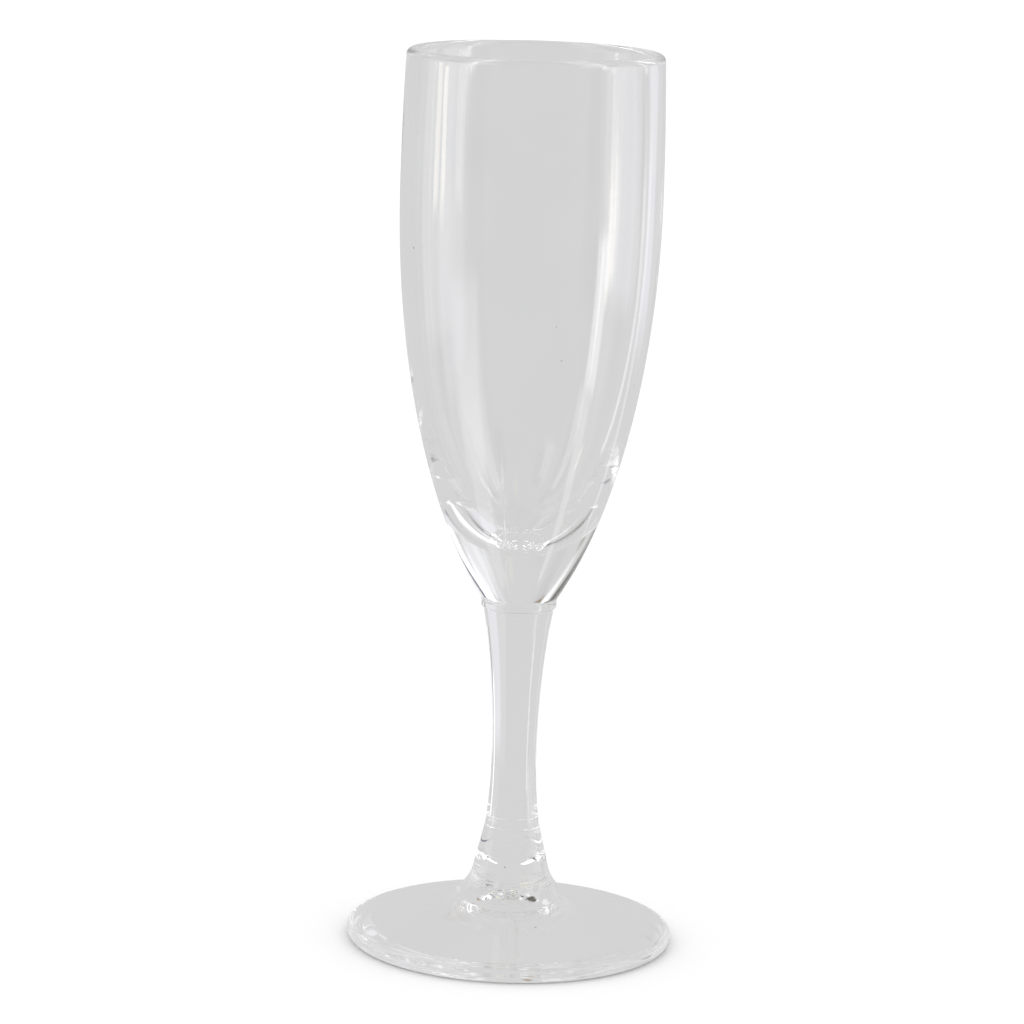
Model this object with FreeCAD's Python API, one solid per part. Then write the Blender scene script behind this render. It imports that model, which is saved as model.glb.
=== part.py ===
"""Champagne flute in clear glass, made as three pieces that are joined hot.

The bowl is blown, with a thick solid base under its round cavity.  The stem is
drawn thin in the middle, with a small head that the bowl's base is fused to.
The foot is a pressed disc with a short neck that the stem's lower end is
fused to.  Every piece is turned about the Z axis and stands on z = 0.
Lengths are in millimetres.
"""
import FreeCAD
import Part
import math
import os

# Heights above the table.
RIM_TOP_Z = 170.0          # top of the rim
BELLY_Z = 143.0            # where the bowl is widest
CAVITY_FLOOR_Z = 77.2      # lowest point of the drinking cavity
BOWL_WELD_Z = 65.0         # where the bowl's base sits on the stem's head
WAIST_Z = 36.0             # where the stem is thinnest
FOOT_WELD_Z = 22.5         # where the stem sits on the foot's neck

# Bowl.
BELLY_RADIUS = 24.5
RIM_RADIUS = 24.0
RIM_WALL = 2.7             # wall between the outside and the inside of the rim
BELLY_WALL = 2.7
BOWL_SWEEP_HEIGHT = 90.0   # half height of the ellipse that shapes the outside
BOWL_SWEEP_WIDTH = 37.0    # half width of that ellipse
CAVITY_WALL_PULL = 46.0    # how far the upright wall pulls the cavity's curve
CAVITY_FLOOR_PULL = 10.5   # how far the level floor pulls it
KNEE_RADIUS = 7.2          # the bowl's base, just above the stem
KNEE_ROUND = 0.3

# Stem.
STEM_HEAD_RADIUS = 6.7
STEM_HEAD_HEIGHT = 4.0
STEM_SHOULDER_RADIUS = 6.0
WAIST_RADIUS = 4.25

# Foot.
FOOT_RADIUS = 31.0
FOOT_EDGE = 3.0            # thickness of the rounded edge
NECK_RADIUS = 5.15         # at the weld to the stem
NECK_FOOT_RADIUS = 7.1     # at the bottom of the neck's cone
NECK_FOOT_Z = 14.4
NECK_PULL = 5.0            # how far the neck's line pulls the curve of the foot's top
TOP_PULL = 18.0            # how far the slope at the edge pulls it
TOP_SLOPE = 12.0           # slope of the foot's top at its edge, degrees
REST_INNER_RADIUS = 25.0   # inside of the flat ring that touches the table
UNDERSIDE_RISE = 6.5       # how far the underside rises from the ring to the middle
UNDERSIDE_FLAT = 6.0       # how far the level middle pulls the underside's curve
UNDERSIDE_PULL = 12.0      # how far the slope at the ring pulls it
UNDERSIDE_SLOPE = 14.0     # slope of the underside at the ring, degrees


def point(radius, height):
    return FreeCAD.Vector(radius, 0, height)


def line(start, end):
    return Part.LineSegment(start, end).toShape()


def arc(start, middle, end):
    return Part.Arc(start, middle, end).toShape()


def arc_from_upright(start, end):
    """Arc that leaves start straight up or down and ends at end."""
    across = end.x - start.x
    along = end.z - start.z
    reach = (across ** 2 + along ** 2) / (2 * across)
    centre = point(start.x + reach, start.z)
    outward = (start + end) * 0.5 - centre
    outward.normalize()
    return arc(start, centre + outward * abs(reach), end)


def curve(start, start_pull, end_pull, end):
    """Smooth curve that leaves start towards start_pull and reaches end from end_pull."""
    bezier = Part.BezierCurve()
    bezier.setPoles([start, start_pull, end_pull, end])
    return bezier.toShape()


def uphill(degrees, reach):
    """Step of this length towards the axis, rising at this slope."""
    slope = math.radians(degrees)
    return point(-reach * math.cos(slope), reach * math.sin(slope))


def turned(edges):
    """Solid made by turning a closed outline about the Z axis."""
    face = Part.Face(Part.Wire(Part.__sortEdges__(edges)))
    return face.revolve(FreeCAD.Vector(0, 0, 0), FreeCAD.Vector(0, 0, 1), 360)


def sweep_angle(radius):
    """Angle down the outer ellipse of the bowl at which it has this radius."""
    return math.acos(1 - (BELLY_RADIUS - radius) / BOWL_SWEEP_WIDTH)


def sweep_point(angle):
    """Point of the outer ellipse of the bowl, measured down from the belly."""
    radius = BELLY_RADIUS - BOWL_SWEEP_WIDTH * (1 - math.cos(angle))
    return point(radius, BELLY_Z - BOWL_SWEEP_HEIGHT * math.sin(angle))


def sweep_edge(last_angle):
    """Edge along the outer ellipse, from the belly down to last_angle."""
    centre = point(BELLY_RADIUS - BOWL_SWEEP_WIDTH, BELLY_Z)
    lowest = centre - point(0, BOWL_SWEEP_HEIGHT)
    ellipse = Part.Ellipse(lowest, sweep_point(0), centre)
    start = ellipse.parameter(sweep_point(0))
    end = ellipse.parameter(sweep_point(last_angle))
    return ellipse.toShape(min(start, end), max(start, end))


def bowl():
    """Blown bowl: rounded rim, thin wall and solid base with a short knee."""
    rim_round = RIM_WALL / 2
    rim_outside = point(RIM_RADIUS, RIM_TOP_Z - rim_round)
    rim_inside = point(RIM_RADIUS - RIM_WALL, RIM_TOP_Z - rim_round)
    rim_top = point(RIM_RADIUS - rim_round, RIM_TOP_Z)
    knee_angle = sweep_angle(KNEE_RADIUS)
    knee_top = sweep_point(knee_angle)
    knee_bottom = point(KNEE_RADIUS - 0.1, BOWL_WELD_Z + KNEE_ROUND)
    weld_edge = point(KNEE_RADIUS - 0.1 - KNEE_ROUND, BOWL_WELD_Z)
    corner = KNEE_ROUND * math.sqrt(0.5)
    corner_middle = point(weld_edge.x + corner, knee_bottom.z - corner)
    cavity_floor = point(0, CAVITY_FLOOR_Z)
    cavity_side = point(BELLY_RADIUS - BELLY_WALL, BELLY_Z)
    floor_pull = cavity_floor + point(CAVITY_FLOOR_PULL, 0)
    wall_pull = cavity_side - point(0, CAVITY_WALL_PULL)
    return turned([
        arc(rim_outside, rim_top, rim_inside),
        arc_from_upright(sweep_point(0), rim_outside),
        sweep_edge(knee_angle),
        line(knee_top, knee_bottom),
        arc(knee_bottom, corner_middle, weld_edge),
        line(weld_edge, point(0, BOWL_WELD_Z)),
        line(point(0, BOWL_WELD_Z), cavity_floor),
        curve(cavity_floor, floor_pull, wall_pull, cavity_side),
        arc_from_upright(cavity_side, rim_inside),
    ])


def stem():
    """Stem: waisted rod with a flared head under the bowl."""
    head = point(STEM_HEAD_RADIUS, BOWL_WELD_Z)
    shoulder = point(STEM_SHOULDER_RADIUS, BOWL_WELD_Z - STEM_HEAD_HEIGHT)
    waist = point(WAIST_RADIUS, WAIST_Z)
    heel = point(NECK_RADIUS, FOOT_WELD_Z)
    return turned([
        line(point(0, BOWL_WELD_Z), head),
        line(head, shoulder),
        arc_from_upright(waist, shoulder),
        arc_from_upright(waist, heel),
        line(heel, point(0, FOOT_WELD_Z)),
        line(point(0, FOOT_WELD_Z), point(0, BOWL_WELD_Z)),
    ])


def foot():
    """Foot: domed disc with a rounded edge, a hollow underside and a neck."""
    neck_top = point(NECK_RADIUS, FOOT_WELD_Z)
    neck_foot = point(NECK_FOOT_RADIUS, NECK_FOOT_Z)
    down_neck = neck_foot - neck_top
    down_neck.normalize()
    edge_round = FOOT_EDGE / 2
    edge_top = point(FOOT_RADIUS - edge_round, FOOT_EDGE)
    edge_outside = point(FOOT_RADIUS, edge_round)
    edge_bottom = point(FOOT_RADIUS - edge_round, 0)
    rest_inside = point(REST_INNER_RADIUS, 0)
    middle = point(0, UNDERSIDE_RISE)
    top_pull = edge_top + uphill(TOP_SLOPE, TOP_PULL)
    under_pull = rest_inside + uphill(UNDERSIDE_SLOPE, UNDERSIDE_PULL)
    return turned([
        line(neck_top, neck_foot),
        curve(neck_foot, neck_foot + down_neck * NECK_PULL, top_pull, edge_top),
        arc(edge_top, edge_outside, edge_bottom),
        line(edge_bottom, rest_inside),
        curve(middle, middle + point(UNDERSIDE_FLAT, 0), under_pull, rest_inside),
        line(middle, point(0, FOOT_WELD_Z)),
        line(point(0, FOOT_WELD_Z), neck_top),
    ])


os.makedirs("parts", exist_ok=True)
for name, make in (("bowl", bowl), ("stem", stem), ("foot", foot)):
    make().exportStep("parts/" + name + ".step")
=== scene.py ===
"""Champagne flute in clear glass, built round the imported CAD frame."""
import math

import bpy
from mathutils import Euler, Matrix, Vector, noise

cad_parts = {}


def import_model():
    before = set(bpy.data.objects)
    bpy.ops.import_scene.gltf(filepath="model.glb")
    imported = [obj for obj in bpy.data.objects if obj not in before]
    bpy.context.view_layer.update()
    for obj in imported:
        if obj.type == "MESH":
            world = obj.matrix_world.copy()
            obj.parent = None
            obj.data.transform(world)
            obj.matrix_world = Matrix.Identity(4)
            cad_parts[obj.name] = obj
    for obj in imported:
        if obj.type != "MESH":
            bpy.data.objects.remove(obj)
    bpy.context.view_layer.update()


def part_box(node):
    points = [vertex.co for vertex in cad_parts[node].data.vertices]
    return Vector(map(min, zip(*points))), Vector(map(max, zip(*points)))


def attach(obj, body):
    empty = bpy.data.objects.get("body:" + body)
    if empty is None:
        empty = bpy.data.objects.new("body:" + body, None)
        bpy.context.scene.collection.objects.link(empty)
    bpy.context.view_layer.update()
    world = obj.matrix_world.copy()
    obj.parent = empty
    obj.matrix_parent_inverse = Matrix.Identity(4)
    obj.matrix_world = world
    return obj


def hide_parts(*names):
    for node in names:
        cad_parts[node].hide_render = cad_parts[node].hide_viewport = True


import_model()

MM = 0.001
UPRIGHT = math.pi / 2

# ---------------------------------------------------------------- sizes, from the frame
bowl_low, bowl_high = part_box("bowl")
stem_low, stem_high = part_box("stem")
foot_low, foot_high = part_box("foot")
HEIGHT = bowl_high[2]
BELLY_RADIUS = bowl_high[0]
BOWL_WELD_Z = bowl_low[2]
STEM_HEAD_RADIUS = stem_high[0]
FOOT_WELD_Z = foot_high[2]
FOOT_RADIUS = foot_high[0]

# The rest of the outline, as in the CAD.
BELLY_Z = 143.0 * MM
CAVITY_FLOOR_Z = 77.2 * MM
WAIST_Z = 36.0 * MM
RIM_RADIUS = 24.0 * MM
RIM_WALL = 2.7 * MM
BELLY_WALL = 2.7 * MM
CAVITY_WALL_PULL = 46.0 * MM
CAVITY_FLOOR_PULL = 10.5 * MM
BOWL_SWEEP_HEIGHT = 90.0 * MM
BOWL_SWEEP_WIDTH = 37.0 * MM
KNEE_RADIUS = 7.2 * MM
KNEE_TAPER = 0.1 * MM        # how much narrower the knee is at its bottom
KNEE_ROUND = 0.3 * MM
STEM_HEAD_HEIGHT = 4.0 * MM
STEM_SHOULDER_RADIUS = 6.0 * MM
WAIST_RADIUS = 4.25 * MM
FOOT_EDGE = 3.0 * MM
NECK_RADIUS = 5.15 * MM
NECK_FOOT_RADIUS = 7.1 * MM
NECK_FOOT_Z = 14.4 * MM
NECK_PULL = 5.0 * MM
TOP_PULL = 18.0 * MM
TOP_SLOPE = 12.0             # degrees
REST_INNER_RADIUS = 25.0 * MM
UNDERSIDE_RISE = 6.5 * MM
UNDERSIDE_FLAT = 6.0 * MM
UNDERSIDE_PULL = 12.0 * MM
UNDERSIDE_SLOPE = 14.0       # degrees

# What the making left on the glass.
BOWL_SEAM = -12.0            # azimuth of the bowl's front mould seam, degrees from the front
FOOT_SEAM = 0.0              # azimuth of the foot's mould seam
SEAM_HALF_WIDTH = 0.15 * MM
BOWL_SEAM_HEIGHT = 0.12 * MM
FOOT_SEAM_HEIGHT = 0.11 * MM
BOWL_SEAM_TOP = 100 * MM     # the bowl's seam fades out above this height
WELD_BEAD = 0.07 * MM        # glass pushed out round the weld on the foot's neck
WELD_BEAD_REACH = 0.7 * MM
MARK_RADIUS = 7.0 * MM       # shallow round hollow in the middle of the foot's underside
MARK_DEPTH = 1.6 * MM
MARK_MIDDLE = 3.4 * MM       # radius of the rough patch in the middle of that hollow

# Uneven surfaces: height and length of the waves in each.
OUTSIDE_WAVES = (0.03 * MM, 14 * MM)
CAVITY_WAVES = (0.09 * MM, 13 * MM)
CAVITY_FLOOR_WRINKLES = (0.035 * MM, 1.3 * MM)
STEM_WAVES = (0.03 * MM, 6 * MM)
FOOT_TOP_WAVES = (0.03 * MM, 10 * MM)
FOOT_EDGE_WAVES = (0.06 * MM, 7 * MM)
UNDERSIDE_WAVES = (0.05 * MM, 9 * MM)
MARK_WRINKLES = (0.1 * MM, 2.2 * MM)
MARK_MIDDLE_WRINKLES = (0.45 * MM, 1.3 * MM)

TURNS = 320                  # even steps round the axis
SEAM_STEPS = 6               # finer steps to each side of a mould seam
SEAM_STEP = 0.25             # degrees
ON_AXIS = 1e-7               # radius below which a point of the outline is a single vertex


# ---------------------------------------------------------------- outline curves
def steps(count):
    return [i / count for i in range(count + 1)]


def straight(start, end, count):
    return [start.lerp(end, t) for t in steps(count)]


def round_about(centre, radius, first, last, count):
    """Arc about centre, with angles in radians from outward, turning up."""
    angles = [first + (last - first) * t for t in steps(count)]
    return [centre + radius * Vector((math.cos(a), math.sin(a))) for a in angles]


def from_upright(start, end, count):
    """Arc that leaves start straight up or down and ends at end."""
    across, along = end - start
    reach = (across ** 2 + along ** 2) / (2 * across)
    centre = Vector((start.x + reach, start.y))
    first = (start - centre).angle_signed(Vector((1, 0)))
    last = (end - centre).angle_signed(Vector((1, 0)))
    turn = (last - first + math.pi) % (2 * math.pi) - math.pi
    return round_about(centre, abs(reach), first, first + turn, count)


def bezier(start, start_pull, end_pull, end, count):
    """Cubic curve from start to end, with its two middle poles given."""
    curve = []
    for t in steps(count):
        u = 1 - t
        near_start = u ** 3 * start + 3 * u * u * t * start_pull
        near_end = 3 * u * t * t * end_pull + t ** 3 * end
        curve.append(near_start + near_end)
    return curve


def uphill(degrees, reach):
    """Step of this length towards the axis, rising at this slope."""
    slope = math.radians(degrees)
    return Vector((-math.cos(slope), math.sin(slope))) * reach


def backwards(run):
    return list(reversed(run))


def sweep_point(angle):
    """Point of the bowl's outer ellipse, measured down from the belly."""
    radius = BELLY_RADIUS - BOWL_SWEEP_WIDTH * (1 - math.cos(angle))
    return Vector((radius, BELLY_Z - BOWL_SWEEP_HEIGHT * math.sin(angle)))


# ---------------------------------------------------------------- relief of fire polished glass
def ramp(value, low, high):
    """0 below low, 1 above high, smooth between them."""
    t = min(max((value - low) / (high - low), 0.0), 1.0)
    return t * t * (3 - 2 * t)


def waves(place, size, seed, stretch=1.0):
    """Smooth waves of this height and length, longer along Z by the stretch."""
    height, length = size
    spot = Vector((place.x, place.y, place.z / stretch)) / length
    return height * noise.noise(spot + Vector((seed, 0, 0)))


def seam(place, azimuth, height):
    """Thin ridge in the upright half plane at this azimuth and in the one behind it."""
    a = math.radians(azimuth)
    off = place.x * math.cos(a) + place.y * math.sin(a)
    return height * math.exp(-(off / SEAM_HALF_WIDTH) ** 2)


def bowl_outside_relief(place):
    above_weld = ramp(place.z, BOWL_WELD_Z + 2 * MM, BOWL_WELD_Z + 4 * MM)
    below_rim = ramp(HEIGHT - place.z, 2 * MM, 12 * MM)
    gaps = ramp(waves(place, (1.0, 6 * MM), 3.0), -0.3, 0.0)
    left_by_polish = ramp(BOWL_SEAM_TOP - place.z, 0, 12 * MM)
    ridge = gaps * left_by_polish * seam(place, BOWL_SEAM, BOWL_SEAM_HEIGHT)
    return above_weld * below_rim * (waves(place, OUTSIDE_WAVES, 1.0, 2.5) + ridge)


def cavity_relief(place):
    below_rim = ramp(HEIGHT - place.z, 3 * MM, 15 * MM)
    near_floor = ramp(CAVITY_FLOOR_Z + 1.6 * MM - place.z, 0, 1.2 * MM)
    wrinkles = near_floor * waves(place, CAVITY_FLOOR_WRINKLES, 9.0)
    return below_rim * waves(place, CAVITY_WAVES, 5.0, 2.0) + wrinkles


def stem_relief(place):
    above_foot = ramp(place.z, FOOT_WELD_Z, FOOT_WELD_Z + 3 * MM)
    below_bowl = ramp(BOWL_WELD_Z - place.z, 0, 3 * MM)
    return above_foot * below_bowl * waves(place, STEM_WAVES, 11.0, 3.0)


def neck_relief(place):
    below = (FOOT_WELD_Z - place.z) / WELD_BEAD_REACH
    return WELD_BEAD * 4 * below * math.exp(-2 * below)


def foot_top_relief(place):
    radius = math.hypot(place.x, place.y)
    clear_of_neck = ramp(radius, NECK_FOOT_RADIUS + 3 * MM, 14 * MM)
    clear_of_edge = ramp(FOOT_RADIUS - radius, 1.5 * MM, 4 * MM)
    ridge = ramp(-place.y, 0, 5 * MM) * seam(place, FOOT_SEAM, FOOT_SEAM_HEIGHT)
    return clear_of_neck * clear_of_edge * (waves(place, FOOT_TOP_WAVES, 17.0) + ridge)


def edge_relief(place):
    fade = ramp(place.z, 0.3 * MM, 1.2 * MM) * ramp(FOOT_EDGE - place.z, 0, 1.0 * MM)
    return fade * waves(place, FOOT_EDGE_WAVES, 31.0)


def underside_relief(place):
    radius = math.hypot(place.x, place.y)
    inside_ring = ramp(REST_INNER_RADIUS - radius, 0, 4 * MM)
    uneven = inside_ring * ramp(radius, 9 * MM, 16 * MM) * waves(place, UNDERSIDE_WAVES, 23.0)
    hollow = MARK_DEPTH * max(0.0, 1 - (radius / MARK_RADIUS) ** 2)
    inside_mark = ramp(MARK_RADIUS - radius, 0.5 * MM, 2 * MM)
    wrinkles = inside_mark * waves(place, MARK_WRINKLES, 41.0)
    in_middle = ramp(MARK_MIDDLE - radius, 0, 1.2 * MM)
    wrinkles += in_middle * waves(place, MARK_MIDDLE_WRINKLES, 47.0)
    return uneven - hollow + wrinkles


# ---------------------------------------------------------------- outlines, as runs of points
# Each run is its points, its relief or None, and whether it is a hidden weld face.
def bowl_runs():
    rim_round = RIM_WALL / 2
    rim_centre = Vector((RIM_RADIUS - rim_round, HEIGHT - rim_round))
    rim_outside = rim_centre + Vector((rim_round, 0))
    rim_inside = rim_centre - Vector((rim_round, 0))
    knee_angle = math.acos(1 - (BELLY_RADIUS - KNEE_RADIUS) / BOWL_SWEEP_WIDTH)
    knee_bottom = Vector((KNEE_RADIUS - KNEE_TAPER, BOWL_WELD_Z + KNEE_ROUND))
    corner = knee_bottom - Vector((KNEE_ROUND, 0))
    weld_edge = Vector((STEM_HEAD_RADIUS, BOWL_WELD_Z))
    floor = Vector((0, CAVITY_FLOOR_Z))
    side = Vector((BELLY_RADIUS - BELLY_WALL, BELLY_Z))
    floor_pull = floor + Vector((CAVITY_FLOOR_PULL, 0))
    wall_pull = side - Vector((0, CAVITY_WALL_PULL))
    return [
        ([Vector((0, BOWL_WELD_Z)), weld_edge], None, True),
        (straight(weld_edge, Vector((corner.x, BOWL_WELD_Z)), 1), None, False),
        (round_about(corner, KNEE_ROUND, -UPRIGHT, 0, 6), None, False),
        (straight(knee_bottom, sweep_point(knee_angle), 4), None, False),
        ([sweep_point(knee_angle * (1 - t)) for t in steps(110)], bowl_outside_relief, False),
        (from_upright(sweep_point(0), rim_outside, 14), bowl_outside_relief, False),
        (round_about(rim_centre, rim_round, 0, math.pi, 24), None, False),
        (backwards(from_upright(side, rim_inside, 14)), cavity_relief, False),
        (backwards(bezier(floor, floor_pull, wall_pull, side, 90)), cavity_relief, False),
    ]


def stem_runs():
    shoulder = Vector((STEM_SHOULDER_RADIUS, BOWL_WELD_Z - STEM_HEAD_HEIGHT))
    waist = Vector((WAIST_RADIUS, WAIST_Z))
    heel = Vector((NECK_RADIUS, FOOT_WELD_Z))
    head = Vector((STEM_HEAD_RADIUS, BOWL_WELD_Z))
    return [
        ([Vector((0, FOOT_WELD_Z)), heel], None, True),
        (backwards(from_upright(waist, heel, 50)), stem_relief, False),
        (from_upright(waist, shoulder, 80), stem_relief, False),
        (straight(shoulder, head, 12), stem_relief, False),
        ([head, Vector((0, BOWL_WELD_Z))], None, True),
    ]


def foot_runs():
    neck_top = Vector((NECK_RADIUS, FOOT_WELD_Z))
    neck_foot = Vector((NECK_FOOT_RADIUS, NECK_FOOT_Z))
    down_neck = (neck_foot - neck_top).normalized()
    edge_centre = Vector((FOOT_RADIUS - FOOT_EDGE / 2, FOOT_EDGE / 2))
    edge_top = edge_centre + Vector((0, FOOT_EDGE / 2))
    edge_bottom = edge_centre - Vector((0, FOOT_EDGE / 2))
    rest_inside = Vector((REST_INNER_RADIUS, 0))
    middle = Vector((0, UNDERSIDE_RISE))
    top_pull = edge_top + uphill(TOP_SLOPE, TOP_PULL)
    under_pull = rest_inside + uphill(UNDERSIDE_SLOPE, UNDERSIDE_PULL)
    top = bezier(neck_foot, neck_foot + down_neck * NECK_PULL, top_pull, edge_top, 110)
    underside = bezier(middle, middle + Vector((UNDERSIDE_FLAT, 0)), under_pull, rest_inside, 70)
    return [
        (underside, underside_relief, False),
        (straight(rest_inside, edge_bottom, 4), None, False),
        (round_about(edge_centre, FOOT_EDGE / 2, -UPRIGHT, UPRIGHT, 28), edge_relief, False),
        (backwards(top), foot_top_relief, False),
        (straight(neck_foot, neck_top, 30), neck_relief, False),
        ([neck_top, Vector((0, FOOT_WELD_Z))], None, True),
    ]


# ---------------------------------------------------------------- meshes
def outward(before, after):
    """Unit normal of an outline that passes from one point to the next, away from the glass."""
    along = (after - before).normalized()
    return Vector((along.y, -along.x))


def round_steps(seam_azimuth):
    """Angles round the axis in degrees from +X, finer at the mould seams in front and behind."""
    seams = [(seam_azimuth - 90 + side) % 360 for side in (0, 180)]
    offsets = [SEAM_STEP * k for k in range(-SEAM_STEPS, SEAM_STEPS + 1)]
    fine = [(middle + offset) % 360 for middle in seams for offset in offsets]
    clear = (SEAM_STEPS + 1) * SEAM_STEP

    def away_from_seams(angle):
        return all(abs((angle - middle + 180) % 360 - 180) > clear for middle in seams)

    even = [360 * step / TURNS for step in range(TURNS)]
    return sorted(fine + [angle for angle in even if away_from_seams(angle)])


def turned(name, runs, seam_azimuth):
    """Mesh made by turning the runs about the Z axis, with weld faces in material slot 1."""
    angles = [math.radians(a) for a in round_steps(seam_azimuth)]
    outline, reliefs, welds = [], [], []
    for run, relief, is_weld in runs:
        skip = 1 if outline else 0
        outline += run[skip:]
        reliefs += [relief] * (len(run) - skip)
        welds += [is_weld] * (len(run) - 1)
    points, rings = [], []
    for i, spot in enumerate(outline):
        relief = reliefs[i]
        facing = outward(outline[max(i - 1, 0)], outline[min(i + 1, len(outline) - 1)])
        count = 1 if spot.x < ON_AXIS else len(angles)
        rings.append(range(len(points), len(points) + count))
        for angle in angles[:count]:
            round_axis = Vector((math.cos(angle), math.sin(angle), 0))
            place = round_axis * spot.x + Vector((0, 0, spot.y))
            if relief:
                sideways = 0 if count == 1 else facing.x
                place += (round_axis * sideways + Vector((0, 0, facing.y))) * relief(place)
            points.append(place)
    faces, slots = [], []
    for low, high, is_weld in zip(rings, rings[1:], welds):
        for step in range(len(angles)):
            after = (step + 1) % len(angles)
            if len(low) == 1:
                faces.append((low[0], high[after], high[step]))
            elif len(high) == 1:
                faces.append((low[step], low[after], high[0]))
            else:
                faces.append((low[step], low[after], high[after], high[step]))
            slots.append(int(is_weld))
    mesh = bpy.data.meshes.new(name)
    mesh.from_pydata(points, [], faces)
    mesh.polygons.foreach_set("use_smooth", [True] * len(faces))
    mesh.polygons.foreach_set("material_index", slots)
    mesh.update()
    piece = bpy.data.objects.new(name, mesh)
    bpy.context.scene.collection.objects.link(piece)
    return piece


# ---------------------------------------------------------------- glass
class Nodes:
    """Small helper that adds nodes to one material or world and wires their inputs."""

    def __init__(self, owner):
        owner.use_nodes = True
        self.tree = owner.node_tree

    def add(self, kind, settings=None, **inputs):
        node = self.tree.nodes.new("ShaderNode" + kind)
        for key, value in (settings or {}).items():
            setattr(node, key, value)
        for key, value in inputs.items():
            self.put(node.inputs[key.replace("_", " ")], value)
        return node

    def put(self, socket, value):
        if isinstance(value, bpy.types.NodeSocket):
            self.tree.links.new(value, socket)
        else:
            socket.default_value = value

    def math(self, operation, first, second=0.0):
        node = self.add("Math", {"operation": operation})
        self.put(node.inputs[0], first)
        self.put(node.inputs[1], second)
        return node.outputs[0]

    def ramp(self, value, low, high, to_low=0.0, to_high=1.0):
        node = self.add("MapRange", {"interpolation_type": "SMOOTHSTEP"}, Value=value)
        self.put(node.inputs["From Min"], low)
        self.put(node.inputs["From Max"], high)
        self.put(node.inputs["To Min"], to_low)
        self.put(node.inputs["To Max"], to_high)
        return node.outputs["Result"]

    def mix(self, factor, first, second):
        node = self.add("Mix", {"data_type": "RGBA"})
        self.put(node.inputs["Factor"], factor)
        self.put(node.inputs[6], first)
        self.put(node.inputs[7], second)
        return node.outputs[2]

    def noise(self, place, scale, detail=2.0):
        return self.add("TexNoise", None, Vector=place, Scale=scale, Detail=detail).outputs["Fac"]

    def bump(self, height, distance, normal=None):
        node = self.add("Bump", None, Height=height, Distance=distance, Strength=1.0)
        if normal is not None:
            self.put(node.inputs["Normal"], normal)
        return node.outputs["Normal"]


GLASS_IOR = 1.52             # soda-lime glass
CLEAREST = (1.0, 1.0, 1.0, 1)
LEAST_CLEAR = (0.984, 0.984, 0.987, 1)
DUST = (0.42, 0.40, 0.37, 1)
PEEL_DEPTH = 0.0005 * MM     # faint orange peel of the fire polished skin
SPECK_HEIGHT = 0.03 * MM


def glass_material(name, seed, cord_stretch, cord_depth):
    """Clear soda glass: faint tint, drawn-out cords, polished skin, smudges and specks of dust."""
    material = bpy.data.materials.new(name)
    nodes = Nodes(material)
    shader = nodes.tree.nodes["Principled BSDF"]
    place = nodes.add("TexCoord").outputs["Object"]
    shifted = nodes.add("Mapping", None, Vector=place, Location=(seed, 0, 0)).outputs["Vector"]
    long_z = (1, 1, 1 / cord_stretch)
    drawn = nodes.add("Mapping", None, Vector=place, Location=(0, seed, 0), Scale=long_z)

    tint = nodes.ramp(nodes.noise(shifted, 45.0), 0.3, 0.7)
    clear = nodes.mix(tint, CLEAREST, LEAST_CLEAR)
    cells = nodes.add("TexVoronoi", None, Vector=shifted, Scale=150.0)
    lot = nodes.add("SeparateColor", None, Color=cells.outputs["Color"]).outputs[0]
    dot = nodes.ramp(cells.outputs["Distance"], 0.035, 0.02)
    speck = nodes.math("MULTIPLY", dot, nodes.math("GREATER_THAN", lot, 0.72))
    nodes.put(shader.inputs["Base Color"], nodes.mix(speck, clear, DUST))

    smudge = nodes.ramp(nodes.noise(shifted, 70.0, 5.0), 0.62, 0.74, 0.0, 0.05)
    skin = nodes.ramp(nodes.noise(shifted, 260.0), 0.55, 0.8, 0.0, 0.012)
    dusty_rough = nodes.math("MULTIPLY", speck, 0.6)
    handled = nodes.math("MAXIMUM", smudge, skin)
    nodes.put(shader.inputs["Roughness"], nodes.math("MAXIMUM", handled, dusty_rough))

    cords = nodes.noise(drawn.outputs["Vector"], 160.0, 1.0)
    peel = nodes.noise(shifted, 600.0, 1.0)
    normal = nodes.bump(cords, cord_depth)
    normal = nodes.bump(peel, PEEL_DEPTH, normal)
    nodes.put(shader.inputs["Normal"], nodes.bump(speck, SPECK_HEIGHT, normal))

    shader.inputs["Transmission Weight"].default_value = 1.0
    shader.inputs["IOR"].default_value = GLASS_IOR
    return material


def weld_material():
    """The fused faces between two pieces, which light passes straight through."""
    material = bpy.data.materials.new("weld")
    nodes = Nodes(material)
    nodes.tree.nodes.remove(nodes.tree.nodes["Principled BSDF"])
    clear = nodes.add("BsdfTransparent").outputs["BSDF"]
    nodes.put(nodes.tree.nodes["Material Output"].inputs["Surface"], clear)
    return material


weld = weld_material()
# Each piece: its runs, its mould seam, then the seed, stretch and depth of the cords in its glass.
for node, runs, seam_azimuth, seed, cord_stretch, cord_depth in (
    ("bowl", bowl_runs(), BOWL_SEAM, 0.0, 12.0, 0.012 * MM),
    ("stem", stem_runs(), FOOT_SEAM, 3.1, 20.0, 0.006 * MM),
    ("foot", foot_runs(), FOOT_SEAM, 7.7, 1.0, 0.0004 * MM),
):
    piece = turned(node + "_glass", runs, seam_azimuth)
    piece.data.materials.append(glass_material(node + "_clear", seed, cord_stretch, cord_depth))
    piece.data.materials.append(weld)
    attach(piece, "root")
    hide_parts(node)


# ---------------------------------------------------------------- studio
# The white floor and backdrop are bright; the glass shows a greyer room with lamps and dark flags.
FLOOR_LIGHT = 1.2            # what lights the floor, and the backdrop itself
ROOM_GREY = 0.665            # the room as the glass shows it
FLOOR_GREY = 0.93
FLOOR_REACH = 12.0
AIR_GAP = 0.02 * MM          # between the floor and the foot

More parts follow.
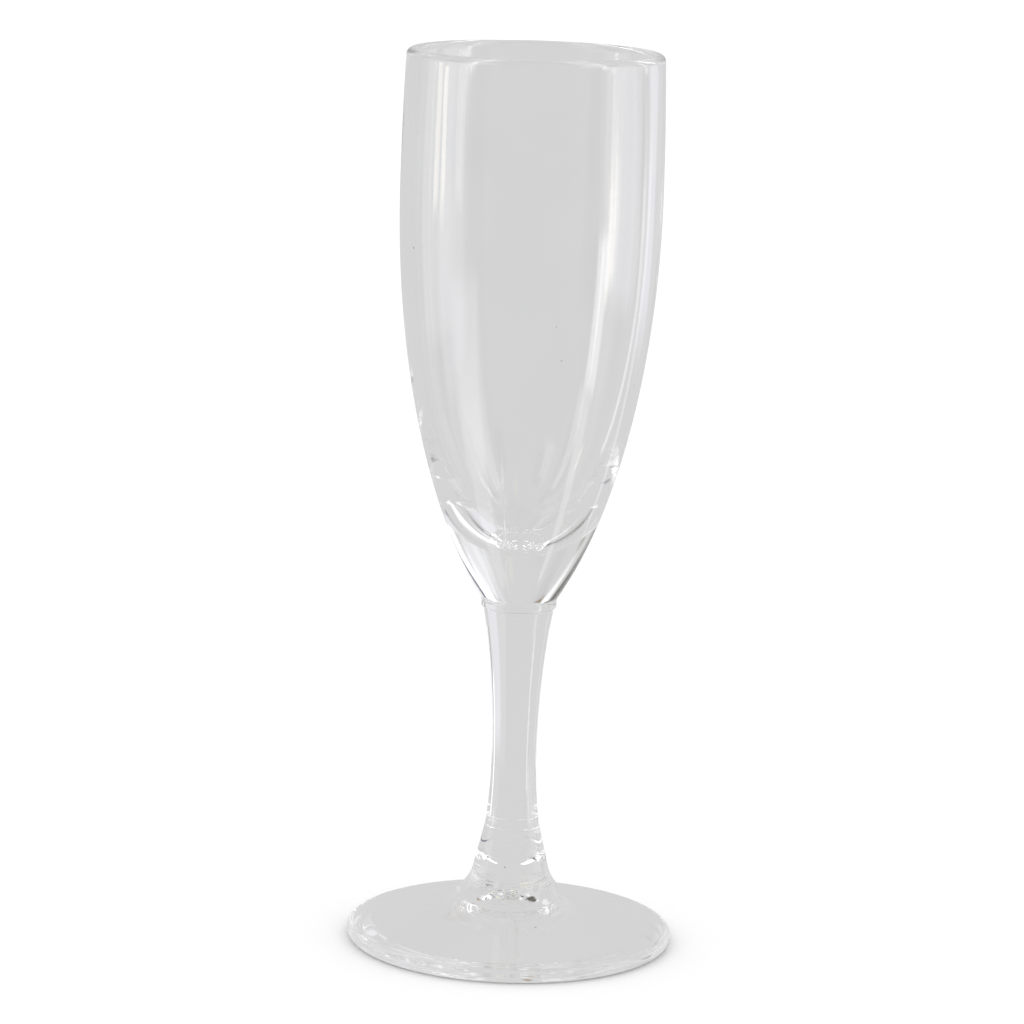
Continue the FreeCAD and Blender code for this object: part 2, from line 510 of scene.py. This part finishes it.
# Lamps and flags round the room: azimuth (0 straight ahead, 90 right, -90 left, 180 behind the
# camera), height above the horizon, width and height, all in degrees, and their colour.
PANELS = (
    ("right window", 89, -4, 38, 20, 4, (1.36, 1.36, 1.45)),
    ("right window's frame", 62, -2, 5, 10, 3, (0.35, 0.35, 0.35)),
    ("far right window", 42, -4, 26, 18, 6, (0.82, 0.82, 0.85)),
    ("thin strip on the right", 55, -18, 5, 26, 3, (1.5, 1.5, 1.5)),
    ("right table edge", 110, -17, 7, 16, 3, (4.0, 3.95, 3.9)),
    ("right table edge, low", 114, -43, 10, 36, 4, (2.2, 2.2, 2.2)),
    ("right table corner", 101, -9, 6, 8, 3, (3.0, 2.95, 2.9)),
    ("dark gap right of the camera", 123, -6, 16, 20, 5, (0.5, 0.5, 0.48)),
    ("right lamp", 100, 34, 40, 52, 8, (1.35, 1.35, 1.35)),
    ("left window", -88, -5, 35, 24, 4, (1.12, 1.12, 1.13)),
    ("warm lamp on the left", -88, -3.5, 5, 7, 2, (4.2, 3.95, 3.4)),
    ("left table", -118, -24, 28, 22, 5, (1.5, 1.5, 1.53)),
    ("left table edge", -120, -47, 24, 34, 5, (1.8, 1.8, 1.8)),
    ("left flag", -98, 37, 34, 40, 10, (0.08, 0.075, 0.06)),
    ("upper left lamp", -114, 74, 20, 16, 8, (1.1, 1.1, 1.1)),
    ("lamp ahead right", 37, 29, 28, 20, 9, (0.9, 0.9, 0.92)),
    ("small flag ahead left", -57, 24, 12, 12, 6, (0.25, 0.25, 0.2)),
    ("warm flag ahead", -27, 44, 16, 14, 4, (0.38, 0.29, 0.21)),
    ("dark ceiling", 0, 82, 400, 20, 5, (0.35, 0.35, 0.31)),
    ("dark ceiling on the right", 112, 68, 60, 12, 5, (0.22, 0.22, 0.18)),
    ("violet flag behind", 138, 31, 14, 16, 4, (0.12, 0.11, 0.19)),
    ("violet flag on the right", 98, 36, 16, 18, 4, (0.10, 0.09, 0.18)),
    ("violet flag behind left", -150, 40, 20, 20, 4, (0.12, 0.11, 0.19)),
    ("left lamp behind", -137, 34, 16, 16, 4, (1.7, 1.7, 1.75)),
    ("warm lamp behind", 159, 52, 12, 12, 5, (1.6, 1.5, 0.9)),
)


def floor():
    """White floor, which the glass doesn't see: it sees the room instead."""
    mesh = bpy.data.meshes.new("floor")
    round_corners = ((-1, -1), (1, -1), (1, 1), (-1, 1))
    corners = [(FLOOR_REACH * x, FLOOR_REACH * y, -AIR_GAP) for x, y in round_corners]
    mesh.from_pydata(corners, [], [(0, 1, 2, 3)])
    ground = bpy.data.objects.new("floor", mesh)
    bpy.context.scene.collection.objects.link(ground)
    material = bpy.data.materials.new("floor")
    shader = Nodes(material).tree.nodes["Principled BSDF"]
    shader.inputs["Roughness"].default_value = 1.0
    shader.inputs["Specular IOR Level"].default_value = 0.0
    shader.inputs["Base Color"].default_value = (FLOOR_GREY, FLOOR_GREY, FLOOR_GREY, 1)
    mesh.materials.append(material)
    ground.visible_transmission = False
    ground.visible_glossy = False


def world():
    """White backdrop for the camera and the floor, and the room with its panels for the glass."""
    studio = bpy.data.worlds.new("studio")
    bpy.context.scene.world = studio
    nodes = Nodes(studio)
    direction = nodes.add("SeparateXYZ", None, Vector=nodes.add("TexCoord").outputs["Generated"])
    x, y, z = direction.outputs
    azimuth = nodes.math("DEGREES", nodes.math("ARCTAN2", x, y))
    height = nodes.math("DEGREES", nodes.math("ARCSINE", z))
    room = (ROOM_GREY, ROOM_GREY, ROOM_GREY, 1)
    for _, at, above, wide, tall, soft, colour in PANELS:
        across = nodes.math("ABSOLUTE", nodes.math("SUBTRACT", azimuth, at))
        along = nodes.math("ABSOLUTE", nodes.math("SUBTRACT", height, above))
        inside = nodes.math(
            "MULTIPLY",
            nodes.ramp(across, (wide + soft) / 2, (wide - soft) / 2),
            nodes.ramp(along, (tall + soft) / 2, (tall - soft) / 2),
        )
        room = nodes.mix(inside, room, (*colour, 1))
    path = nodes.add("LightPath")
    plain = nodes.math("MAXIMUM", path.outputs["Is Camera Ray"], path.outputs["Is Diffuse Ray"])
    white = (FLOOR_LIGHT, FLOOR_LIGHT, FLOOR_LIGHT, 1)
    nodes.put(nodes.tree.nodes["Background"].inputs["Color"], nodes.mix(plain, room, white))
    nodes.tree.nodes["Background"].inputs["Strength"].default_value = 1.0


floor()
world()

# ---------------------------------------------------------------- camera
CAMERA_BACK = 4.595          # times the glass's height, in front of its axis
CAMERA_UP = 1.376            # times the glass's height, above the floor
LOOK_DOWN = 10.93            # degrees
LOOK_LEFT = 0.135
LEAN = 1.8                   # the picture is turned this much about its middle
SENSOR = 36.0                # millimetres
LENS = 148.4

camera = bpy.data.objects.new("camera", bpy.data.cameras.new("camera"))
bpy.context.scene.collection.objects.link(camera)
camera.data.sensor_width = SENSOR
camera.data.lens = LENS
camera.location = (0.0, -CAMERA_BACK * HEIGHT, CAMERA_UP * HEIGHT)
aim = Euler((math.radians(90 - LOOK_DOWN), 0, math.radians(LOOK_LEFT))).to_matrix()
roll = Euler((0, 0, math.radians(LEAN))).to_matrix()
camera.rotation_euler = (aim @ roll).to_euler()

# Light that enters the rim's bead circles in it for hundreds of bounces.
BOUNCES = 400
CLEAR_BOUNCES = 32
bpy.context.scene.camera = camera
scene = bpy.context.scene
scene.view_settings.view_transform = "Standard"
scene.cycles.max_bounces = BOUNCES
scene.cycles.transmission_bounces = BOUNCES
scene.cycles.glossy_bounces = BOUNCES
scene.cycles.transparent_max_bounces = CLEAR_BOUNCES
scene.cycles.caustics_reflective = True
scene.cycles.caustics_refractive = True
